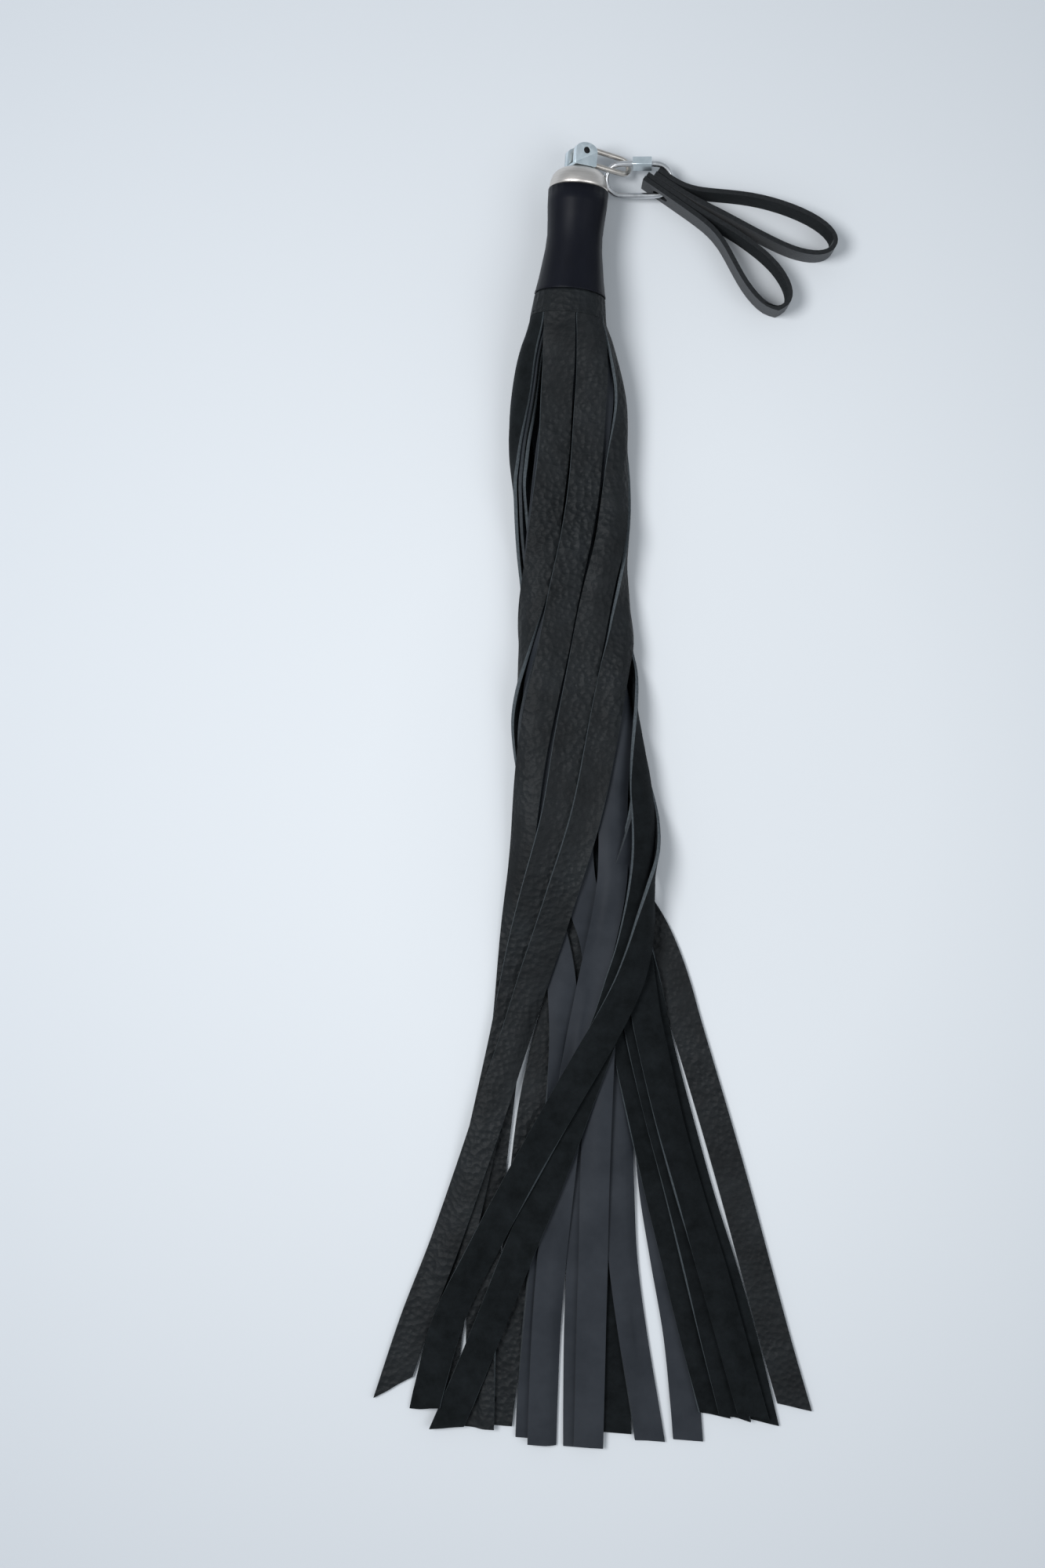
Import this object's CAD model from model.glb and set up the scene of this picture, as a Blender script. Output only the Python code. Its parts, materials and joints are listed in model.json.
# Swivel flogger, seen from straight above on a pale table. Lengths are in metres.

import json
import math

import bmesh
import bpy
import numpy as np
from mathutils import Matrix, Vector
from mathutils.bvhtree import BVHTree


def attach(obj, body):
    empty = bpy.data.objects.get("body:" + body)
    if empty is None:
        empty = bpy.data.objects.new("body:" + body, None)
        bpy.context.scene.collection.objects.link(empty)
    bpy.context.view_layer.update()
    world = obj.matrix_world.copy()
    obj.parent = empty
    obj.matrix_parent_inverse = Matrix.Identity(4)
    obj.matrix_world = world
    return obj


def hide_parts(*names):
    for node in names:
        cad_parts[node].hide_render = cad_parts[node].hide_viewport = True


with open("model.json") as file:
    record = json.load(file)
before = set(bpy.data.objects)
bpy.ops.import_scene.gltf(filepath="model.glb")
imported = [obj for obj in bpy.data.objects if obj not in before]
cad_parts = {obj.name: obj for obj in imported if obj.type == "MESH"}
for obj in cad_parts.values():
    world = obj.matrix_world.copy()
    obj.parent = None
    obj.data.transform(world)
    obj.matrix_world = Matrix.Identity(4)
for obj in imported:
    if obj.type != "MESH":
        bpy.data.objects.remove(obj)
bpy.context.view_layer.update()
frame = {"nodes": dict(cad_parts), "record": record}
nodes = frame["nodes"]
scene = bpy.context.scene

# The handle's axis runs along Y at this x and z.
AXIS = np.array([-0.064315, 0.022])
# The clevis pin's own axis, across the fork.
PIN_DIR = Vector((0.3746, 0, 0.9272))

# Falls: half their thickness under the sleeve and in the open, and how far the change takes.
ROOT_HALF = 0.00075
LEATHER_HALF = 0.0010
RUBBER_HALF = 0.0009
THICKEN_OVER = 0.05
# How far a fall's upper end reaches up into the root roll.
ROOT_OVERLAP = 0.0025
# A cut edge bulges this far, between heights of this share of the half thickness.
EDGE_BULGE = 0.00012
EDGE_SHARE = 0.62
# Points across a strip, and the spacing of its sections.
ACROSS = 9
RING_STEP = 0.0045
# The falls fan out and lie flat below this y.
FAN_BELOW = 0.05
# Tolerance in y for points of one section, and the least spacing of two sections.
SAME_PLANE = 0.00002
LEAST_SPACING = 0.002

# Visual clearance of the quick link's wire in the loops' slots.
WIRE_SLIM = 0.00018
EASED_CORNER = 0.0003
STRAP_CORNER = 0.0005
# How far across a finger loop its two legs still see each other.
LOOP_REACH = 0.06

# Studio: the camera looks straight down, turned by the tilt of the whole part in the view.
CAMERA_PLACE = (-0.069115, 0.00703, 1.1135)
CAMERA_TURN = math.radians(4.58)
FOCAL_MM = 44.1
FLOOR_HALF = 14.0
FLOOR_Z = -0.0003


# ---------------------------------------------------------------- materials

def blank(name, rough, metal=0.0, sheen=0.0, specular=0.5):
    """A new material with only its plain values set: (material, node tree, shader)."""
    material = bpy.data.materials.new(name)
    material.use_nodes = True
    tree = material.node_tree
    surface = tree.nodes["Principled BSDF"]
    surface.inputs["Roughness"].default_value = rough
    surface.inputs["Metallic"].default_value = metal
    surface.inputs["Specular IOR Level"].default_value = specular
    surface.inputs["Sheen Weight"].default_value = sheen
    surface.inputs["Sheen Roughness"].default_value = 0.45
    return material, tree, surface


def coords(tree, stretch=(1, 1, 1)):
    """The point on the object in metres, stretched."""
    source = tree.nodes.new("ShaderNodeTexCoord")
    mapping = tree.nodes.new("ShaderNodeMapping")
    mapping.inputs["Scale"].default_value = stretch
    tree.links.new(source.outputs["Object"], mapping.inputs["Vector"])
    return mapping.outputs["Vector"]


def noise(tree, vector, scale, detail=4.0, rough=0.55):
    node = tree.nodes.new("ShaderNodeTexNoise")
    node.inputs["Scale"].default_value = scale
    node.inputs["Detail"].default_value = detail
    node.inputs["Roughness"].default_value = rough
    tree.links.new(vector, node.inputs["Vector"])
    return node.outputs["Fac"]


def cells(tree, vector, scale):
    """Rounded cells, as in the pebbles of grained leather."""
    node = tree.nodes.new("ShaderNodeTexVoronoi")
    node.feature = "SMOOTH_F1"
    node.inputs["Scale"].default_value = scale
    node.inputs["Smoothness"].default_value = 0.35
    tree.links.new(vector, node.inputs["Vector"])
    return node.outputs["Distance"]


def ramp(tree, factor, low, high, start=0.3, end=0.7):
    node = tree.nodes.new("ShaderNodeValToRGB")
    node.color_ramp.elements[0].position = start
    node.color_ramp.elements[0].color = (*low, 1)
    node.color_ramp.elements[1].position = end
    node.color_ramp.elements[1].color = (*high, 1)
    tree.links.new(factor, node.inputs["Fac"])
    return node.outputs["Color"]


def spread(tree, factor, low, high):
    """A factor from 0 to 1 read as a value from low to high."""
    node = tree.nodes.new("ShaderNodeMapRange")
    node.inputs["To Min"].default_value = low
    node.inputs["To Max"].default_value = high
    tree.links.new(factor, node.inputs["Value"])
    return node.outputs["Result"]


def bump(tree, height, distance, strength=1.0, under=None):
    """A bump of that height, on top of the bump named under."""
    node = tree.nodes.new("ShaderNodeBump")
    node.inputs["Distance"].default_value = distance
    node.inputs["Strength"].default_value = strength
    tree.links.new(height, node.inputs["Height"])
    if under is not None:
        tree.links.new(under, node.inputs["Normal"])
    return node.outputs["Normal"]


def leather_grain():
    material, tree, surface = blank("leather_grain", 0.6, specular=0.17)
    where = coords(tree)
    patches = noise(tree, where, 38, 3)
    tint = ramp(tree, patches, (0.0044, 0.0055, 0.0063), (0.0098, 0.0120, 0.0136))
    tree.links.new(tint, surface.inputs["Base Color"])
    tree.links.new(spread(tree, patches, 0.68, 0.5), surface.inputs["Roughness"])
    creases = noise(tree, coords(tree, (1, 2.2, 1)), 55, 4)
    broad = bump(tree, creases, 0.0011, 0.6)
    patchy = tree.nodes.new("ShaderNodeMath")
    patchy.operation = "MULTIPLY"
    tree.links.new(cells(tree, where, 290), patchy.inputs[0])
    tree.links.new(spread(tree, noise(tree, where, 17, 2), -0.6, 2.4), patchy.inputs[1])
    pebble = bump(tree, patchy.outputs[0], 0.0012, 0.9, broad)
    pebble = bump(tree, cells(tree, where, 760), 0.0002, 0.5, pebble)
    tree.links.new(pebble, surface.inputs["Normal"])
    return material


def leather_flesh():
    material, tree, surface = blank("leather_flesh", 0.92, sheen=0.05, specular=0.08)
    surface.inputs["Sheen Tint"].default_value = (0.55, 0.62, 0.68, 1)
    where = coords(tree)
    nap = noise(tree, where, 95, 6, 0.7)
    tint = ramp(tree, nap, (0.0032, 0.0042, 0.0046), (0.0085, 0.0105, 0.0118))
    tree.links.new(tint, surface.inputs["Base Color"])
    creases = noise(tree, coords(tree, (1, 1.8, 1)), 42, 4)
    broad = bump(tree, creases, 0.0012, 0.6)
    fuzz = bump(tree, noise(tree, where, 1500, 4, 0.7), 0.0003, 0.7, broad)
    tree.links.new(fuzz, surface.inputs["Normal"])
    return material


def sheet_rubber():
    material, tree, surface = blank("sheet_rubber", 0.55, specular=0.11)
    where = coords(tree)
    dust = noise(tree, where, 30, 5, 0.6)
    tint = ramp(tree, dust, (0.016, 0.019, 0.024), (0.029, 0.033, 0.040))
    tree.links.new(tint, surface.inputs["Base Color"])
    tree.links.new(spread(tree, dust, 0.5, 0.66), surface.inputs["Roughness"])
    tree.links.new(bump(tree, noise(tree, where, 240, 3), 0.0001, 0.3), surface.inputs["Normal"])
    return material


def cut_edge(name, low, high):
    material, tree, surface = blank(name, 0.85, specular=0.25)
    where = coords(tree)
    fibre = noise(tree, where, 700, 5, 0.7)
    tree.links.new(ramp(tree, fibre, low, high), surface.inputs["Base Color"])
    tree.links.new(bump(tree, fibre, 0.0003, 0.6), surface.inputs["Normal"])
    return material


def plated(name, low, high, rough, turned=False):
    """Bare or plated metal, stained a little, with marks along Y if it was turned."""
    material, tree, surface = blank(name, rough, metal=1.0)
    where = coords(tree, (1, 14, 1) if turned else (1, 1, 1))
    stain = noise(tree, where, 130, 5, 0.6)
    tree.links.new(ramp(tree, stain, low, high), surface.inputs["Base Color"])
    tree.links.new(spread(tree, stain, rough - 0.07, rough + 0.09), surface.inputs["Roughness"])
    tree.links.new(bump(tree, noise(tree, where, 900, 3), 0.00006, 0.35), surface.inputs["Normal"])
    return material


def shrunk_sleeve():
    material, tree, surface = blank("shrunk_sleeve", 0.4, specular=0.13)
    where = coords(tree, (1, 0.35, 1))
    smear = noise(tree, where, 60, 5, 0.6)
    tint = ramp(tree, smear, (0.0022, 0.0026, 0.0052), (0.0045, 0.0054, 0.0095))
    tree.links.new(tint, surface.inputs["Base Color"])
    tree.links.new(spread(tree, smear, 0.34, 0.48), surface.inputs["Roughness"])
    broad = bump(tree, noise(tree, where, 70, 2), 0.0006, 0.35)
    fine = bump(tree, noise(tree, coords(tree), 1300, 3), 0.00008, 0.4, broad)
    tree.links.new(fine, surface.inputs["Normal"])
    return material


def strap_face():
    material, tree, surface = blank("strap_face", 0.66, sheen=0.08, specular=0.35)
    where = coords(tree)
    wear = noise(tree, where, 75, 6, 0.65)
    tint = ramp(tree, wear, (0.014, 0.017, 0.021), (0.030, 0.036, 0.043))
    tree.links.new(tint, surface.inputs["Base Color"])
    tree.links.new(spread(tree, wear, 0.55, 0.78), surface.inputs["Roughness"])
    tree.links.new(bump(tree, cells(tree, where, 900), 0.0002, 0.6), surface.inputs["Normal"])
    return material


def wound_thread():
    material, tree, surface = blank("wound_thread", 0.8)
    wave = tree.nodes.new("ShaderNodeTexWave")
    wave.bands_direction = "Y"
    wave.inputs["Scale"].default_value = 260
    tree.links.new(coords(tree), wave.inputs["Vector"])
    tint = ramp(tree, wave.outputs["Fac"], (0.02, 0.02, 0.022), (0.06, 0.06, 0.062))
    tree.links.new(tint, surface.inputs["Base Color"])
    tree.links.new(bump(tree, wave.outputs["Fac"], 0.0003), surface.inputs["Normal"])
    return material


GRAIN = leather_grain()
FLESH = leather_flesh()
RUBBER = sheet_rubber()
LEATHER_CUT = cut_edge("leather_cut", (0.034, 0.041, 0.046), (0.072, 0.086, 0.096))
RUBBER_CUT = cut_edge("rubber_cut", (0.022, 0.026, 0.030), (0.040, 0.046, 0.052))
STRAP_CUT = cut_edge("strap_cut", (0.0045, 0.0055, 0.0065), (0.014, 0.016, 0.018))
STRAP_FACE = strap_face()
SLEEVE = shrunk_sleeve()
NICKEL = plated("satin_nickel", (0.62, 0.58, 0.54), (0.76, 0.72, 0.68), 0.36, turned=True)
ZINC = plated("bright_zinc", (0.62, 0.72, 0.76), (0.84, 0.92, 0.96), 0.32)
STEEL = plated("drawn_steel", (0.42, 0.39, 0.35), (0.64, 0.60, 0.56), 0.32)
WIRE = plated("bright_wire", (0.50, 0.51, 0.52), (0.74, 0.75, 0.77), 0.24)
CORE = plated("core_aluminium", (0.5, 0.5, 0.51), (0.62, 0.62, 0.63), 0.35, turned=True)
THREAD = wound_thread()
RECESS = cut_edge("recess", (0.004, 0.004, 0.005), (0.010, 0.010, 0.012))

FINISH = {
    "leather_grain": GRAIN,
    "leather_flesh": FLESH,
    "rubber_strip": RUBBER,
    "core": CORE,
    "binding": THREAD,
    "sleeve": SLEEVE,
    "nickel": NICKEL,
    "steel": STEEL,
    "zinc": ZINC,
    "bright_wire": WIRE,
    "strap_leather": STRAP_FACE,
}
record = frame["record"]
SLOTS = {entry["node"]: entry["material_slot"] for entry in record["subparts"]}
BODY_OF = {n: b for b, members in record["behaviour"]["bodies"].items() for n in members}
for name, obj in nodes.items():
    obj.data.materials.clear()
    obj.data.materials.append(FINISH[SLOTS[name]])


# ---------------------------------------------------------------- the falls

def distinct(obj):
    """The places of the object's vertices, each once."""
    points = np.empty(len(obj.data.vertices) * 3)
    obj.data.vertices.foreach_get("co", points)
    return np.unique(np.round(points.reshape(-1, 3), 6), axis=0)


def middles(points):
    """The four points midway through a section's thickness, from its eight corners."""
    left = list(range(len(points)))
    found = []
    while left:
        first = left.pop(0)
        gaps = [np.linalg.norm(points[first] - points[k]) for k in left]
        second = left.pop(int(np.argmin(gaps)))
        found.append((points[first] + points[second]) / 2)
    found = np.array(found)
    gaps = np.linalg.norm(found[:, None] - found[None], axis=2)
    start = np.unravel_index(np.argmax(gaps), gaps.shape)[0]
    return found[np.argsort(gaps[start])]


def sections(obj):
    """The fall's sections from its root to its tip, as rows of four points."""
    points = distinct(obj)
    planes = np.round(points[:, 1], 5)
    rows = []
    for y in np.unique(planes)[::-1]:
        here = points[np.abs(points[:, 1] - y) < SAME_PLANE]
        if len(here) == 8 and (not rows or rows[-1][0, 1] - y > LEAST_SPACING):
            rows.append(middles(here))
    # The tip may be cut at a slant, so its corners aren't in one plane.
    tip = points[np.argsort(points[:, 1])[:8]]
    if np.ptp(tip[:, 1]) > 0.00003:
        while rows and rows[-1][:, 1].min() < tip[:, 1].max() + 0.0005:
            rows.pop()
        rows.append(middles(tip))
    # Each row runs the way that turns its outer side away from the handle's axis.
    out = rows[0].mean(axis=0)[[0, 2]] - AXIS
    along = rows[0][3] - rows[0][0]
    if -along[2] * out[0] + along[0] * out[1] < 0:
        rows[0] = rows[0][::-1]
    for k in range(1, len(rows)):
        before = rows[k - 1] - rows[k - 1].mean(axis=0)
        after = rows[k] - rows[k].mean(axis=0)
        if (before * after).sum() < 0:
            rows[k] = rows[k][::-1]
    return np.array(rows)


def curve_through(points, at, wanted):
    """Cubic curve through the points, read at the wanted values of their parameter."""
    slopes = np.empty_like(points)
    slopes[1:-1] = (points[2:] - points[:-2]) / (at[2:] - at[:-2])[:, None, None]
    slopes[0] = (points[1] - points[0]) / (at[1] - at[0])
    slopes[-1] = (points[-1] - points[-2]) / (at[-1] - at[-2])
    k = np.clip(np.searchsorted(at, wanted, side="right") - 1, 0, len(at) - 2)
    gap = (at[k + 1] - at[k])[:, None, None]
    t = ((wanted - at[k]) / (at[k + 1] - at[k]))[:, None, None]
    return (
        (2 * t**3 - 3 * t**2 + 1) * points[k]
        + (t**3 - 2 * t**2 + t) * gap * slopes[k]
        + (3 * t**2 - 2 * t**3) * points[k + 1]
        + (t**3 - t**2) * gap * slopes[k + 1]
    )


def fall(name, up_face, down_face, cut, half):
    """A fall as a fine smooth strip with cut edges, along the middle of its CAD solid."""
    node = nodes[name]
    rows = sections(node)
    rows = np.concatenate([rows[:1] + [0, ROOT_OVERLAP, 0], rows])
    centre = rows.mean(axis=1)
    at = np.concatenate([[0], np.cumsum(np.linalg.norm(np.diff(centre, axis=0), axis=1))])
    length = at[-1]
    count = max(12, int(length / RING_STEP))
    fine = curve_through(rows, at, np.linspace(0, length, count))
    across = np.linspace(0, 3, ACROSS)
    grid = curve_through(fine.transpose(1, 0, 2), np.arange(4.0), across).transpose(1, 0, 2)
    along = np.gradient(grid, axis=0)
    side = np.gradient(grid, axis=1)
    normal = np.cross(along, side)
    normal /= np.linalg.norm(normal, axis=2, keepdims=True)
    outward = side / np.linalg.norm(side, axis=2, keepdims=True)
    opened = np.clip(np.linspace(0, length, count) / THICKEN_OVER, 0, 1)
    thick = (ROOT_HALF + (half - ROOT_HALF) * opened)[:, None, None]
    top = grid + normal * thick
    low = grid - normal * thick
    ends = []
    for column, sign in ((-1, 1.0), (0, -1.0)):
        middle = grid[:, column] + outward[:, column] * sign * EDGE_BULGE
        rise = normal[:, column] * thick[:, 0] * EDGE_SHARE
        ends.append((middle + rise, middle - rise))
    ring = np.concatenate(
        [
            top,
            ends[0][0][:, None],
            ends[0][1][:, None],
            low[:, ::-1],
            ends[1][1][:, None],
            ends[1][0][:, None],
        ],
        axis=1,
    )
    ring[:, :, 2] = np.maximum(ring[:, :, 2], 0.0)
    size = ring.shape[1]
    faces = []
    kinds = []
    flat = normal[:, :, 2][grid[:, :, 1] < FAN_BELOW]
    top_is_up = flat.mean() > 0
    for i in range(count - 1):
        for j in range(size):
            k = (j + 1) % size
            faces.append((i * size + j, i * size + k, (i + 1) * size + k, (i + 1) * size + j))
            if j < ACROSS - 1:
                kinds.append(0 if top_is_up else 1)
            elif ACROSS + 2 <= j < 2 * ACROSS + 1:
                kinds.append(1 if top_is_up else 0)
            else:
                kinds.append(2)
    # The two ends are closed with a row of quads, and one at each cut edge.
    edge_quads = (
        (ACROSS - 1, ACROSS, ACROSS + 1, ACROSS + 2),
        (2 * ACROSS + 1, 2 * ACROSS + 2, 2 * ACROSS + 3, 0),
    )
    for start, flip in ((0, False), ((count - 1) * size, True)):
        for j in range(ACROSS - 1):
            quad = (start + j, start + j + 1, start + 2 * ACROSS - j, start + 2 * ACROSS + 1 - j)
            faces.append(quad[::-1] if not flip else quad)
            kinds.append(2)
        for a, b, c, d in edge_quads:
            quad = (start + a, start + b, start + c, start + d)
            faces.append(quad[::-1] if not flip else quad)
            kinds.append(2)
    mesh = bpy.data.meshes.new(name + "_strip")
    mesh.from_pydata(ring.reshape(-1, 3).tolist(), [], faces)
    for material in (up_face, down_face, cut):
        mesh.materials.append(material)
    mesh.polygons.foreach_set("material_index", kinds)
    mesh.shade_smooth()
    work = bmesh.new()
    work.from_mesh(mesh)
    bmesh.ops.recalc_face_normals(work, faces=work.faces)
    work.to_mesh(mesh)
    work.free()
    mesh.set_sharp_from_angle(angle=math.radians(38))
    strip = bpy.data.objects.new(name + "_strip", mesh)
    scene.collection.objects.link(strip)
    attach(strip, "handle")
    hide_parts(name)
    width = float(np.linalg.norm(np.diff(grid, axis=1), axis=2).sum(axis=1).mean())
    return name, round(width * 1000, 1), round(length * 1000)


for name in sorted(nodes):
    if name.startswith("fall_leather"):
        grain_up = SLOTS[name] == "leather_grain" or name.endswith("s6")
        up = GRAIN if grain_up else FLESH
        down = FLESH if grain_up else GRAIN
        print("fall", *fall(name, up, down, LEATHER_CUT, LEATHER_HALF))
    elif name.startswith("fall_rubber"):
        print("fall", *fall(name, RUBBER, RUBBER, RUBBER_CUT, RUBBER_HALF))


# ---------------------------------------------------------------- hard pieces

def dressed(name, materials, choose=None, sharp=35, bevel=0.0, smooth=0):
    """A finished copy of a CAD node: welded, shaded smooth, its corners eased."""
    node = nodes[name]
    mesh = node.data.copy()
    mesh.name = name + "_finished"
    work = bmesh.new()
    work.from_mesh(mesh)
    bmesh.ops.remove_doubles(work, verts=work.verts, dist=0.00001)
    if smooth:
        bmesh.ops.join_triangles(
            work, faces=work.faces, angle_face_threshold=0.25, angle_shape_threshold=1.2
        )
    work.to_mesh(mesh)
    work.free()
    mesh.materials.clear()
    for material in materials:
        mesh.materials.append(material)
    if choose:
        pick = choose(mesh)
        for face in mesh.polygons:
            face.material_index = pick(face)
    mesh.shade_smooth()
    mesh.set_sharp_from_angle(angle=math.radians(sharp))
    obj = bpy.data.objects.new(name + "_finished", mesh)
    scene.collection.objects.link(obj)
    if bevel:
        eased = obj.modifiers.new("eased", "BEVEL")
        eased.width = bevel
        eased.segments = 2
        eased.limit_method = "ANGLE"
        eased.angle_limit = math.radians(40)
    if smooth:
        rounder = obj.modifiers.new("rounder", "SUBSURF")
        rounder.levels = smooth
        rounder.render_levels = smooth
    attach(obj, BODY_OF[name])
    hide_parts(name)
    return obj


def strap_sides(mesh):
    """Cut edges face up and down; the napped side is the one that sees the strap's other leg."""
    tree = BVHTree.FromPolygons([v.co for v in mesh.vertices], [p.vertices for p in mesh.polygons])

    def choose(face):
        if abs(face.normal.z) > 0.7:
            return 1
        seen = tree.ray_cast(face.center + face.normal * 0.0002, face.normal, LOOP_REACH)
        return 0 if seen[0] is None else 2

    return choose


def pin_ends(mesh):
    """The pin's ends are dark recesses."""
    return lambda face: int(abs(face.normal.dot(PIN_DIR)) > 0.8)


dressed("grip_sleeve", [SLEEVE], sharp=50)
dressed("swivel_cap", [NICKEL], sharp=40)
dressed("fork_head", [ZINC], sharp=32, bevel=EASED_CORNER)
dressed("clevis_pin", [STEEL, RECESS], pin_ends, sharp=40)
dressed("swivel_stem", [STEEL], sharp=40)
dressed("chain_link", [STEEL], sharp=180, smooth=1)
slim = dressed("quick_link_body", [WIRE], sharp=60, smooth=1).modifiers.new("slim", "DISPLACE")
slim.strength = -WIRE_SLIM
slim.mid_level = 0.0
dressed("quick_link_nut", [ZINC], sharp=28, bevel=EASED_CORNER)
for name in ("finger_loop_upper", "finger_loop_lower"):
    dressed(name, [STRAP_FACE, STRAP_CUT, FLESH], strap_sides, sharp=180, bevel=STRAP_CORNER, smooth=1)


# ---------------------------------------------------------------- studio

def pale_floor():
    """A pale table that darkens a little away from the part."""
    material, tree, surface = blank("pale_floor", 0.9, specular=0.1)
    length = tree.nodes.new("ShaderNodeVectorMath")
    length.operation = "LENGTH"
    tree.links.new(coords(tree, (1.25, 0.95, 1)), length.inputs[0])
    tree.links.new(
        ramp(tree, length.outputs["Value"], (0.62, 0.645, 0.67), (0.42, 0.45, 0.485), 0.2, 1.2),
        surface.inputs["Base Color"],
    )
    mesh = bpy.data.meshes.new("floor")
    corners = [(x * FLOOR_HALF, y * FLOOR_HALF, FLOOR_Z) for x, y in ((-1, -1), (1, -1), (1, 1), (-1, 1))]
    mesh.from_pydata(corners, [], [(0, 1, 2, 3)])
    mesh.materials.append(material)
    floor = bpy.data.objects.new("floor", mesh)
    scene.collection.objects.link(floor)


def soft_light(name, place, size, power, colour):
    """A round area light aimed at the middle of the part."""
    data = bpy.data.lights.new(name, "AREA")
    data.shape = "DISK"
    data.size = size
    data.energy = power
    data.color = colour
    lamp = bpy.data.objects.new(name, data)
    lamp.location = place
    lamp.rotation_euler = (Vector((0, 0, 0)) - Vector(place)).to_track_quat("-Z", "Y").to_euler()
    scene.collection.objects.link(lamp)


pale_floor()
soft_light("key", (-0.85, 0.1, 1.45), 0.7, 22, (0.985, 0.99, 1.0))
soft_light("fill", (0.95, -0.15, 1.4), 1.2, 8, (0.96, 0.98, 1.0))
world = bpy.data.worlds.new("studio")
world.use_nodes = True
world.node_tree.nodes["Background"].inputs["Color"].default_value = (0.80, 0.86, 0.92, 1)
world.node_tree.nodes["Background"].inputs["Strength"].default_value = 0.5
scene.world = world
scene.view_settings.view_transform = "Standard"

lens = bpy.data.cameras.new("camera")
lens.lens = FOCAL_MM
lens.sensor_width = 36
lens.clip_start = 0.01
camera = bpy.data.objects.new("camera", lens)
camera.location = CAMERA_PLACE
camera.rotation_euler = (0, 0, CAMERA_TURN)
scene.collection.objects.link(camera)
scene.camera = camera
